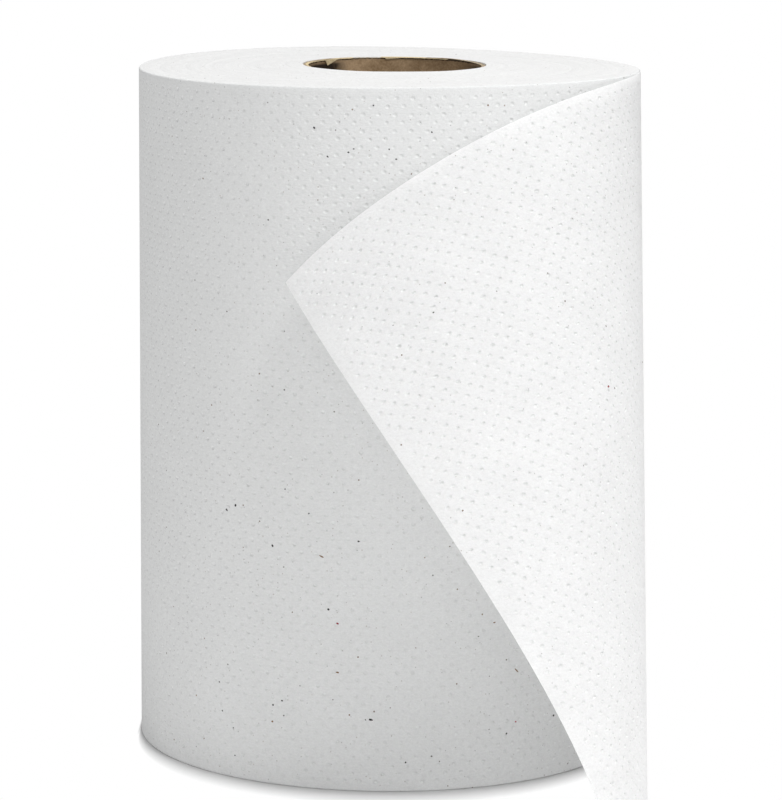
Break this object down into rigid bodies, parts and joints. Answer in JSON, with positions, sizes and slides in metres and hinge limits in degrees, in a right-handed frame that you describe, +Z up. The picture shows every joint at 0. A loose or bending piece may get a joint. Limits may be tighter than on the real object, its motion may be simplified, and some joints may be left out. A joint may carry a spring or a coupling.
{
  "type": "paper towel roll",
  "caption": "Hard-wound roll of embossed white paper towel on a brown paperboard tube, its loose end curling across the front.",
  "frame": {"origin": "middle of the tube's bore at the lower end, on the surface that the roll stands on", "axes": "+Z up along the tube; -Y towards the side that the loose end crosses; the web leaves the roll on the +X side"},
  "size_m": [0.15, 0.239, 0.2032],
  "materials": {
    "paperboard": "matt, unbleached",
    "towel_paper": "matt, embossed with soft dimples, recycled flecks"
  },
  "bodies": {
    "root": {"core_tube": "paperboard", "towel_web": "towel_paper"}
  },
  "joints": []
}
